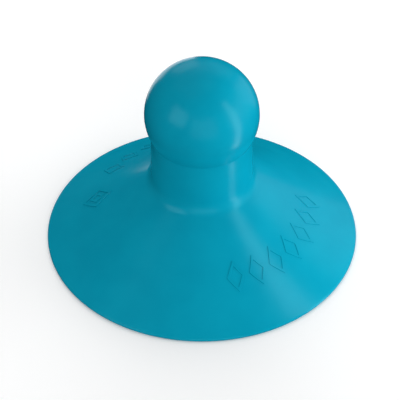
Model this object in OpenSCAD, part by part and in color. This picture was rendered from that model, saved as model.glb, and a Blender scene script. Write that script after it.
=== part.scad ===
// Suction cup with a ball handle, moulded in one piece from silicone rubber.
// Millimetres, +Z up. The origin is the centre of the circle that the sealing lip rests on.
// The moulding is cut into the zones that move against each other when it flexes:
// the lip, four concentric rings of the skirt, the crown over the hollow, the neck and the ball.

/* [Cup] */
// Diameter over the sealing lip
cup_d = 55; // [50:0.5:60]
// Height of the upright edge of the lip
lip_edge_h = 0.3; // [0.2:0.05:0.8]
// Width of the flat land under the lip that seals on the surface
lip_land_w = 0.6; // [0.4:0.05:1]
// Slope of the skirt's top at the lip, in degrees
lip_slope = 33.5; // [31:0.5:37]
// Slope of the skirt's top at the neck, in degrees
root_slope = 39.5; // [37:0.5:43]
// Height of the hollow where the skirt meets the crown
hollow_h = 9.8; // [8.5:0.1:10]

/* [Skirt zones] */
// Width of the lip zone, which stays on the surface
lip_zone_w = 2.5; // [2:0.1:3]
// Radius of the crown, the thick roof of the hollow
crown_r = 11; // [10.8:0.1:12]
// Gap between two zones that move against each other
zone_gap = 0.1; // [0.05:0.01:0.2]

/* [Handle] */
// Diameter of the ball
ball_d = 20.3; // [19:0.1:22]
// Height of the ball's centre above the surface
ball_z = 29; // [28:0.1:31]
// Diameter of the neck
neck_d = 18; // [16:0.1:18.4]
// Radius of the fillet between the neck and the skirt
root_fillet_r = 3; // [2:0.1:3.5]

/* [Hidden] */
$fn = 96;
silicone = "#0391B1";

rim_r = cup_d / 2;
ball_r = ball_d / 2;
neck_r = neck_d / 2;

// Lip: a small outside chamfer runs from the land up to the upright edge.
lip_chamfer = 0.3;
land_out_r = rim_r - lip_chamfer;
land_in_r = land_out_r - lip_land_w;

// Skirt: rings of equal width between the lip zone and the crown, over a conical hollow.
ring_count = 4;
lip_zone_r = rim_r - lip_zone_w;
ring_w = (lip_zone_r - crown_r) / ring_count;
ring_steps = 4;
under_slope = hollow_h / (land_in_r - crown_r);

// Root: where the fillet is tangent to the skirt, and where it meets the neck.
root_r = neck_r + root_fillet_r * (1 - sin(root_slope));
root_z = top_z(root_r);
fillet_z = root_z + root_fillet_r * cos(root_slope);
fillet_steps = 10;

// Roof of the hollow: the slope dies away between the crown's edge and a flat middle.
roof_flat_r = 7;
roof_steps = 6;

// Neck: it ends where the ball is as wide as the neck, and bends in two halves.
crease_z = ball_z - sqrt(ball_r * ball_r - neck_r * neck_r);
neck_split_z = (fillet_z + crease_z) / 2;

// Height of the skirt's top at radius r. Its slope grows evenly from the lip to the root.
function top_z(r) =
    let (inward = rim_r - r, gain = tan(root_slope) - tan(lip_slope))
    lip_edge_h + lip_chamfer + tan(lip_slope) * inward
    + gain / 2 * inward * inward / (rim_r - root_r);

// Height of the underside at radius r: the land, the conical hollow, then its roof.
function under_z(r) =
    r >= land_in_r ? 0 :
    r >= crown_r ? under_slope * (land_in_r - r) :
    let (inward = crown_r - max(r, roof_flat_r))
    hollow_h + under_slope * (inward - inward * inward / (2 * (crown_r - roof_flat_r)));

// Points along the top from radius r_out in to radius r_in.
function top_points(r_out, r_in, steps) =
    [for (i = [0:steps]) let (r = r_out + (r_in - r_out) * i / steps) [r, top_z(r)]];

// Points along the underside from radius r_in out to radius r_out.
function under_points(r_in, r_out, steps) =
    [for (i = [0:steps]) let (r = r_in + (r_out - r_in) * i / steps) [r, under_z(r)]];

// The outermost zone, with the land that seals and the thin edge of the rim.
module sealing_lip() {
    r_in = lip_zone_r + zone_gap / 2;
    color(silicone)
        rotate_extrude()
            polygon(concat(
                [[r_in, under_z(r_in)], [land_in_r, 0], [land_out_r, 0], [rim_r, lip_chamfer]],
                top_points(rim_r, r_in, ring_steps)
            ));
}

// Ring n of the skirt, counted from the lip, between two upright cylinders.
module skirt_ring(n) {
    r_out = lip_zone_r - ring_w * (n - 1) - zone_gap / 2;
    r_in = lip_zone_r - ring_w * n + zone_gap / 2;
    color(silicone)
        rotate_extrude()
            polygon(concat(
                under_points(r_in, r_out, 1),
                top_points(r_out, r_in, ring_steps)
            ));
}

// The thick roof of the hollow, which carries the neck.
module crown() {
    r_out = crown_r - zone_gap / 2;
    color(silicone)
        rotate_extrude()
            polygon(concat(
                [[0, under_z(0)]],
                under_points(roof_flat_r, r_out, roof_steps),
                top_points(r_out, root_r, 1),
                [[0, root_z]]
            ));
}

// The flared foot of the neck, which a fillet runs into the skirt.
module root_collar() {
    sweep = 90 - root_slope;
    color(silicone)
        rotate_extrude()
            polygon(concat(
                [[0, root_z]],
                [for (i = [0:fillet_steps])
                    let (a = 180 + sweep * (1 - i / fillet_steps))
                    [neck_r + root_fillet_r * (1 + cos(a)), fillet_z + root_fillet_r * sin(a)]],
                [[0, fillet_z]]
            ));
}

// Part of the neck between two heights.
module neck_length(z_low, z_high) {
    color(silicone)
        translate([0, 0, z_low])
            cylinder(r = neck_r, h = z_high - z_low);
}

// The ball that is gripped and pulled, cut off flat where it sits on the neck.
module ball_grip() {
    color(silicone)
        difference() {
            translate([0, 0, ball_z]) sphere(r = ball_r);
            translate([0, 0, crease_z - ball_d]) cylinder(r = ball_d, h = ball_d);
        }
}

sealing_lip();
skirt_ring(1);  // skirt_ring_1
skirt_ring(2);  // skirt_ring_2
skirt_ring(3);  // skirt_ring_3
skirt_ring(4);  // skirt_ring_4
crown();
root_collar();
neck_length(fillet_z, neck_split_z);  // neck_lower
neck_length(neck_split_z, crease_z - zone_gap);  // neck_upper
ball_grip();
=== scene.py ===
import math

import bpy
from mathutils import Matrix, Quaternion, Vector


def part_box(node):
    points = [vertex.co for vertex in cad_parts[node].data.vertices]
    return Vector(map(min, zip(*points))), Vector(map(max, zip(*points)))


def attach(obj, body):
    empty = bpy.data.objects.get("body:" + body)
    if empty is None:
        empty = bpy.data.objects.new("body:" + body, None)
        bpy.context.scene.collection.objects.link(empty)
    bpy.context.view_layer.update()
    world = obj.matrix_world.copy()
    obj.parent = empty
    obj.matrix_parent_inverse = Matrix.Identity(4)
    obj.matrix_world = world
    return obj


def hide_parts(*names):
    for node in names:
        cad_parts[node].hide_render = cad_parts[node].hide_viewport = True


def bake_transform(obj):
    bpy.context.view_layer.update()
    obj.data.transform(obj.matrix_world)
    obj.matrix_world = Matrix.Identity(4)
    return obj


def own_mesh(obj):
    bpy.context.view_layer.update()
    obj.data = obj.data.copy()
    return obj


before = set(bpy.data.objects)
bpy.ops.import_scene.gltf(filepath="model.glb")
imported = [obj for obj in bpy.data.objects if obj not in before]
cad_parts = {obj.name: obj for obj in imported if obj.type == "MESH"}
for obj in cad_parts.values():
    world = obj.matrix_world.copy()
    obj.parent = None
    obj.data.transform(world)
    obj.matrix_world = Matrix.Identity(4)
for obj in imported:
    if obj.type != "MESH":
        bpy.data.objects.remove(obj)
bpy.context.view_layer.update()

# Looks of a one-piece silicone suction cup with a ball handle.
# Lengths are in metres, and MM is one millimetre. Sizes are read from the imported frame, apart from those
# named below, which the boxes of the CAD nodes don't give.

MM = 0.001
LIP_SLOPE = math.radians(33.5)  # slope of the skirt's top at the lip
CREASE_FILLET = 0.7 * MM  # fillet in the crease under the ball
ROOF_FLAT_R = 7 * MM  # flat middle of the hollow's roof
LAND_ROUND = 0.5 * MM  # rounding where the sealing land turns up into the hollow

# The hidden surfaces, which close each piece inside the moulding.
MIDDLE_RISE = 3 * MM  # width over which the surface inside the wall rises from the land to mid-wall
CENTRE_R = 0.5 * MM  # radius of the ring of points next to the axis
LAP = 1 * MM  # width over which the cup's and the neck's hidden faces draw apart
RECESS = 0.3 * MM  # how far the cup's hidden face under the neck lies below the fillet's foot

SEGMENTS = 288  # facets round the axis
SHARP = math.radians(50)  # an edge that turns more than this is shaded sharp

# Steps along each stretch of a profile.
WALL_STEPS = 24
BEAD_STEPS = 14
SKIRT_STEPS = 70
LAND_STEPS = 12
CONE_STEPS = 30
ROOF_STEPS = 10
FILLET_STEPS = 30
NECK_LOWER_STEPS = 18
NECK_UPPER_STEPS = 16
CREASE_STEPS = 8
BALL_STEPS = 90


# ---------------------------------------------------------------- sizes from the frame

def low(node):
    """Lowest corner of a CAD node's box."""
    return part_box(node)[0]


def high(node):
    """Highest corner of a CAD node's box."""
    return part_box(node)[1]


rim_r = high("sealing_lip").x
neck_r = high("neck_lower").x
root_r = high("root_collar").x
root_z = low("root_collar").z
fillet_z = high("root_collar").z
split_z = high("neck_lower").z
crease_z = low("ball_grip").z
top_z = high("ball_grip").z
crown_r = high("crown").x

# The fillet is tangent to the skirt at root_r and to the neck at fillet_z, which gives its slope and radius.
root_slope = math.pi / 2 - 2 * math.atan((root_r - neck_r) / (fillet_z - root_z))
fillet_r = (fillet_z - root_z) / math.cos(root_slope)

# The ball passes through the neck's top edge, and its own top is the highest point.
cap_h = top_z - crease_z
ball_r = (cap_h ** 2 + neck_r ** 2) / (2 * cap_h)
ball_z = top_z - ball_r

# The hollow is a cone that meets the surface at land_r: two rings' lowest edges lie on it.
outer_ring, inner_ring = "skirt_ring_1", "skirt_ring_4"
hollow_slope = (low(inner_ring).z - low(outer_ring).z) / (high(outer_ring).x - high(inner_ring).x)
land_r = high(outer_ring).x + low(outer_ring).z / hollow_slope

# The rim is rounded by a bead that touches the surface and runs into the skirt without a step.
slope_gain = math.tan(root_slope) - math.tan(LIP_SLOPE)
edge_z = root_z - (rim_r - root_r) * (math.tan(LIP_SLOPE) + slope_gain / 2)
bead_r = edge_z / (1 + math.cos(LIP_SLOPE) - math.tan(LIP_SLOPE) * (1 - math.sin(LIP_SLOPE)))


def skirt_top(r):
    """Height of the skirt's outside at radius r."""
    inward = rim_r - r
    return edge_z + math.tan(LIP_SLOPE) * inward + slope_gain / 2 * inward ** 2 / (rim_r - root_r)


def skirt_tilt(r):
    """Angle between the skirt's outside and the level at radius r."""
    return math.atan(math.tan(LIP_SLOPE) + slope_gain * (rim_r - r) / (rim_r - root_r))


def skirt_under(r):
    """Height of the hollow's surface at radius r, from the sealing land to the flat middle of its roof."""
    if r >= land_r + LAND_ROUND:
        return 0.0
    if r >= land_r - LAND_ROUND:
        return hollow_slope * (land_r + LAND_ROUND - r) ** 2 / (4 * LAND_ROUND)
    if r >= crown_r:
        return hollow_slope * (land_r - r)
    inward = crown_r - max(r, ROOF_FLAT_R)
    return hollow_slope * (land_r - crown_r + inward - inward ** 2 / (2 * (crown_r - ROOF_FLAT_R)))


def skirt_middle(r):
    """Height of the hidden surface inside the wall, where the outside and the hollow's skin meet."""
    share = 0.5 * min(1.0, (rim_r - bead_r - r) / MIDDLE_RISE)
    return skirt_under(r) + share * (skirt_top(r) - skirt_under(r))


# ---------------------------------------------------------------- mesh helpers

def steps(a, b, n):
    """n + 1 values from a to b."""
    return [a + (b - a) * i / n for i in range(n + 1)]


def arc(centre_r, centre_z, radius, start, end, n):
    """Points of a profile along an arc, between two angles counted from outwards towards up."""
    return [(centre_r + radius * math.cos(a), centre_z + radius * math.sin(a)) for a in steps(start, end, n)]


def finish_mesh(name, verts, faces, material):
    """A new piece made of these faces, shaded smooth and linked to the scene."""
    mesh = bpy.data.meshes.new(name)
    mesh.from_pydata(verts, [], faces)
    mesh.validate()
    mesh.shade_smooth()
    mesh.set_sharp_from_angle(angle=SHARP)
    mesh.materials.append(material)
    piece = bpy.data.objects.new(name, mesh)
    bpy.context.scene.collection.objects.link(piece)
    return piece


def revolve(name, profile, material):
    """A closed solid turned round the axis. Its profile starts and ends there and runs anticlockwise."""
    verts = [(0, 0, profile[0][1])]
    rings = profile[1:-1]
    for r, z in rings:
        for k in range(SEGMENTS):
            a = 2 * math.pi * k / SEGMENTS
            verts.append((r * math.cos(a), r * math.sin(a), z))
    verts.append((0, 0, profile[-1][1]))
    faces = []
    for k in range(SEGMENTS):
        after = (k + 1) % SEGMENTS
        faces.append((0, 1 + after, 1 + k))
        for i in range(len(rings) - 1):
            lower = 1 + i * SEGMENTS
            upper = lower + SEGMENTS
            faces.append((lower + k, lower + after, upper + after, upper + k))
        last = 1 + (len(rings) - 1) * SEGMENTS
        faces.append((last + k, last + after, len(verts) - 1))
    return finish_mesh(name, verts, faces, material)


# ---------------------------------------------------------------- material

def silicone():
    """Moulded silicone rubber: satin, with a faint mottle, fine grain and slightly uneven gloss."""
    mat = bpy.data.materials.new("silicone")
    mat.use_nodes = True
    nodes, links = mat.node_tree.nodes, mat.node_tree.links
    bsdf = nodes["Principled BSDF"]
    coords = nodes.new("ShaderNodeTexCoord").outputs["Object"]

    def noise(scale, detail):
        """Noise with about this many features to the metre."""
        texture = nodes.new("ShaderNodeTexNoise")
        texture.inputs["Scale"].default_value = scale
        texture.inputs["Detail"].default_value = detail
        links.new(coords, texture.inputs["Vector"])
        return texture.outputs["Fac"]

    mottle = nodes.new("ShaderNodeValToRGB")
    mottle.color_ramp.elements[0].position = 0.35
    mottle.color_ramp.elements[0].color = (0.0005, 0.262, 0.385, 1)
    mottle.color_ramp.elements[1].position = 0.65
    mottle.color_ramp.elements[1].color = (0.0010, 0.280, 0.405, 1)
    links.new(noise(160, 3), mottle.inputs["Fac"])
    links.new(mottle.outputs["Color"], bsdf.inputs["Base Color"])

    gloss = nodes.new("ShaderNodeMapRange")
    gloss.inputs["To Min"].default_value = 0.18
    gloss.inputs["To Max"].default_value = 0.25
    links.new(noise(420, 4), gloss.inputs["Value"])
    links.new(gloss.outputs["Result"], bsdf.inputs["Roughness"])

    grain = nodes.new("ShaderNodeBump")
    grain.inputs["Strength"].default_value = 0.05
    grain.inputs["Distance"].default_value = 0.02 * MM
    links.new(noise(3500, 2), grain.inputs["Height"])
    links.new(grain.outputs["Normal"], bsdf.inputs["Normal"])

    bsdf.inputs["IOR"].default_value = 1.41
    bsdf.inputs["Specular Tint"].default_value = (0.4, 0.95, 1, 1)
    return mat


rubber = silicone()

# ---------------------------------------------------------------- the moulding

# Inside the wall, from the axis out to the bead: the outside and the hollow's skin share this surface.
# Near the axis it rises past the outside's own top face and into the neck's foot, all of it out of sight.
wall = [(r, skirt_middle(r)) for r in steps(CENTRE_R, rim_r - bead_r, WALL_STEPS)]

bead = arc(rim_r - bead_r, bead_r, bead_r, -math.pi / 2, math.pi / 2 - LIP_SLOPE, BEAD_STEPS)
skirt = [(r, skirt_top(r)) for r in steps(bead[-1][0], root_r, SKIRT_STEPS)]
outside = revolve(
    "cup_outside",
    [(0, skirt_middle(0))] + wall[:-1] + bead + skirt[1:]
    + [(root_r - LAP, root_z - RECESS), (0, root_z - RECESS)],
    rubber,
)
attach(outside, "rim")
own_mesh(outside)
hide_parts("sealing_lip", "skirt_ring_1", "skirt_ring_2", "skirt_ring_3", "skirt_ring_4")

land = steps(rim_r - bead_r, land_r - LAND_ROUND, LAND_STEPS)
cone = steps(land[-1], crown_r, CONE_STEPS)
roof = steps(crown_r, ROOF_FLAT_R, ROOF_STEPS)
hollow_r = [0, CENTRE_R] + roof[::-1] + cone[::-1][1:] + land[::-1][1:]
hollow = revolve(
    "cup_hollow",
    [(r, skirt_under(r)) for r in hollow_r] + wall[-2::-1] + [(0, skirt_middle(0))],
    rubber,
)
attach(hollow, "rim")
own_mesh(hollow)
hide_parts("crown")

# The foot of the neck, with the fillet that runs into the skirt.
foot = revolve(
    "neck_foot",
    [(0, root_z - RECESS / 2), (root_r - LAP, root_z - RECESS / 2)]
    + arc(neck_r + fillet_r, fillet_z, fillet_r, math.pi * 1.5 - root_slope, math.pi, FILLET_STEPS)
    + [(neck_r, z) for z in steps(fillet_z, split_z, NECK_LOWER_STEPS)[1:]] + [(0, split_z)],
    rubber,
)
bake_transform(foot)
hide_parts("root_collar", "neck_lower")

# The top of the neck, the filleted crease and the ball.
crease_drop = math.sqrt((ball_r + CREASE_FILLET) ** 2 - (neck_r + CREASE_FILLET) ** 2)
crease_turn = math.asin(crease_drop / (ball_r + CREASE_FILLET))
neck_top_z = ball_z - crease_drop
handle = revolve(
    "ball_handle",
    [(0, split_z)] + [(neck_r, z) for z in steps(split_z, neck_top_z, NECK_UPPER_STEPS)]
    + arc(neck_r + CREASE_FILLET, neck_top_z, CREASE_FILLET, math.pi, math.pi - crease_turn, CREASE_STEPS)[1:]
    + arc(0, ball_z, ball_r, -crease_turn, math.pi / 2, BALL_STEPS)[1:],
    rubber,
)
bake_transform(handle)
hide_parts("neck_upper", "ball_grip")


# ---------------------------------------------------------------- raised marks on the skirt
# Plain geometric marks in two rows stand where the photographed cup has moulded lettering.

MARK_R = 18.8 * MM  # radius of a row's centre line
MARK_PITCH = 12.8  # degrees from one mark to the next
MARK_HEIGHT = 0.11 * MM
MARK_SINK = 0.1 * MM  # how far a mark goes down into the skin
STROKE_FOOT = 0.5 * MM  # width of a stroke at the bottom
STROKE_TOP = 0.38 * MM  # width of a stroke at the top
PATH_STEP = 0.3 * MM  # length of one step along a stroke


def lozenge(half_w, half_h):
    """Corners of an outline, each a distance across the row and a distance up the skirt."""
    return [Vector(corner) for corner in ((-half_w, 0), (0, -half_h), (half_w, 0), (0, half_h))]


# A mark is a list of outlines. A row has its first mark's azimuth, the turn to the next one, and its marks.
PLAIN = [lozenge(1.4 * MM, 1.9 * MM)]
NESTED = [lozenge(2.1 * MM, 2.3 * MM), lozenge(0.9 * MM, 1.0 * MM)]
SPACE = []
MARK_ROWS = [
    (18.5, MARK_PITCH, [PLAIN] * 7),
    (-98.0, -MARK_PITCH, [NESTED, SPACE] + [PLAIN] * 3),
]


def on_skirt(azimuth, across, up, height):
    """A point over the skirt, from a place on a mark that is centred at azimuth in degrees."""
    r = MARK_R - up
    tilt = skirt_tilt(r)
    a = math.radians(azimuth) + across / MARK_R
    out = r + height * math.sin(tilt)
    return (out * math.sin(a), -out * math.cos(a), skirt_top(r) + height * math.cos(tilt))


def outline_sides(corners, half_w):
    """The two edges of a closed outline's stroke, mitred at its corners and cut into short steps."""
    sides = []
    for side in (-1, 1):
        mitred = []
        for i, corner in enumerate(corners):
            into = (corner - corners[i - 1]).normalized()
            away = (corners[(i + 1) % len(corners)] - corner).normalized()
            miter = Vector((-into.y - away.y, into.x + away.x)).normalized()
            mitred.append(corner + miter * (side * half_w / miter.dot(Vector((-into.y, into.x)))))
        line = []
        for i, corner in enumerate(corners):
            after = (i + 1) % len(corners)
            count = max(1, round((corners[after] - corner).length / PATH_STEP))
            line += [mitred[i].lerp(mitred[after], k / count) for k in range(count)]
        sides.append(line)
    return sides


def raised_marks(material):
    """Every mark of both rows, in one piece: a closed ridge along each outline."""
    verts, faces = [], []
    for start, turn, row in MARK_ROWS:
        for place, mark in enumerate(row):
            azimuth = start + place * turn
            for outline in mark:
                foot_sides = outline_sides(outline, STROKE_FOOT / 2)
                top_sides = outline_sides(outline, STROKE_TOP / 2)
                section = (
                    (foot_sides[0], -MARK_SINK), (top_sides[0], MARK_HEIGHT),
                    (top_sides[1], MARK_HEIGHT), (foot_sides[1], -MARK_SINK),
                )
                first, count = len(verts), len(foot_sides[0])
                for i in range(count):
                    verts += [on_skirt(azimuth, line[i].x, line[i].y, height) for line, height in section]
                for i in range(count):
                    a, b = first + 4 * i, first + 4 * ((i + 1) % count)
                    faces += [(a + k, b + k, b + (k + 1) % 4, a + (k + 1) % 4) for k in range(4)]
    return finish_mesh("raised_marks", verts, faces, material)


marks = raised_marks(rubber)
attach(marks, "rim")
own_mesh(marks)


# ---------------------------------------------------------------- floor, light and camera

FLOOR_HALF = 3.0  # half the floor's width
FILL_DISTANCE = 0.7  # from the ball's centre
AIM = Vector((-0.33 * MM, 0, 8.58 * MM))  # the point at the middle of the picture
CAMERA_ELEVATION = 42.62  # degrees
CAMERA_DISTANCE = 1.0
CAMERA_LENS = 507


def direction(azimuth, elevation):
    """Unit vector, with azimuth 0 towards the camera and 90 to its right, in degrees."""
    a, e = math.radians(azimuth), math.radians(elevation)
    return Vector((math.sin(a) * math.cos(e), -math.cos(a) * math.cos(e), math.sin(e)))


def studio_floor():
    """A plain white floor that neither shades the cup nor throws light back up at it."""
    mat = bpy.data.materials.new("studio_floor")
    mat.use_nodes = True
    bsdf = mat.node_tree.nodes["Principled BSDF"]
    bsdf.inputs["Base Color"].default_value = (0.95, 0.95, 0.95, 1)
    bsdf.inputs["Roughness"].default_value = 0.9
    bsdf.inputs["Emission Color"].default_value = (1, 1, 1, 1)
    bsdf.inputs["Emission Strength"].default_value = 0.13

    mesh = bpy.data.meshes.new("studio_floor")
    corners = [(-FLOOR_HALF, -FLOOR_HALF, 0), (FLOOR_HALF, -FLOOR_HALF, 0),
               (FLOOR_HALF, FLOOR_HALF, 0), (-FLOOR_HALF, FLOOR_HALF, 0)]
    mesh.from_pydata(corners, [], [(0, 1, 2, 3)])
    mesh.materials.append(mat)
    plane = bpy.data.objects.new("studio_floor", mesh)
    plane.visible_glossy = False
    plane.visible_diffuse = False
    plane.visible_shadow = False
    bpy.context.scene.collection.objects.link(plane)
    return plane


def softbox(name, azimuth, elevation, width, height, power, distance, roll=0):
    """A soft light that faces the ball, placed by its direction. Its width and height are angles too."""
    data = bpy.data.lights.new(name, "AREA")
    data.shape = "RECTANGLE"
    data.size, data.size_y = (2 * distance * math.tan(math.radians(angle) / 2) for angle in (width, height))
    data.energy = power
    light = bpy.data.objects.new(name, data)
    out = direction(azimuth, elevation)
    light.location = Vector((0, 0, ball_z)) + out * distance
    light.rotation_mode = "QUATERNION"
    light.rotation_quaternion = out.to_track_quat("Z", "Y") @ Quaternion((0, 0, 1), math.radians(roll))
    light.visible_camera = False
    bpy.context.scene.collection.objects.link(light)
    return light


def near_softbox(*args, **kwargs):
    """A small light close to the rubber, which makes a highlight there and leaves the floor as it is."""
    softbox(*args, **kwargs).light_linking.receiver_collection = not_floor


def fill(*args):
    """A large light that has no reflection."""
    softbox(*args, FILL_DISTANCE).visible_glossy = False


def white_room():
    """Even light from all round, which has no reflection."""
    world = bpy.data.worlds.new("studio")
    world.use_nodes = True
    background = world.node_tree.nodes["Background"]
    background.inputs["Color"].default_value = (1, 1, 1, 1)
    background.inputs["Strength"].default_value = 0.28
    bpy.context.scene.world = world
    world.cycles_visibility.glossy = False


def photo_camera():
    """A camera with a long lens, which looks down at the cup from the front."""
    data = bpy.data.cameras.new("camera")
    data.lens = CAMERA_LENS
    data.clip_end = 10
    camera = bpy.data.objects.new("camera", data)
    back = direction(0, CAMERA_ELEVATION)
    camera.location = AIM + back * CAMERA_DISTANCE
    camera.rotation_mode = "QUATERNION"
    camera.rotation_quaternion = back.to_track_quat("Z", "Y")
    bpy.context.scene.collection.objects.link(camera)
    return camera


floor = studio_floor()

# The near lights light everything apart from what this collection excludes, which is the floor.
not_floor = bpy.data.collections.new("not_floor")
not_floor.objects.link(floor)
not_floor.collection_objects[0].light_linking.link_state = "EXCLUDE"

# Each light's azimuth, elevation, width and height in degrees, and its power in watts.
near_softbox("strip_right", 65, 2, 14, 88, 0.0078, distance=0.05)
near_softbox("box_left", -52, 23, 34, 30, 0.05, distance=0.19)
near_softbox("panel_back_right", 124, 4, 30, 48, 0.0027, distance=0.08, roll=40)
near_softbox("panel_back_left", 198, 21, 25, 27, 0.0016, distance=0.08)
near_softbox("low_back_left", 201, -13, 34, 30, 0.0019, distance=0.042)
fill("fill_right", 98, 7, 80, 40, 6.5)
fill("fill_front", 4, 12, 50, 40, 3.3)
fill("fill_back", 180, 20, 60, 40, 3.8)
fill("fill_top_left", -150, 65, 60, 60, 1.5)
white_room()

bpy.context.scene.camera = photo_camera()
bpy.context.scene.view_settings.view_transform = "Standard"
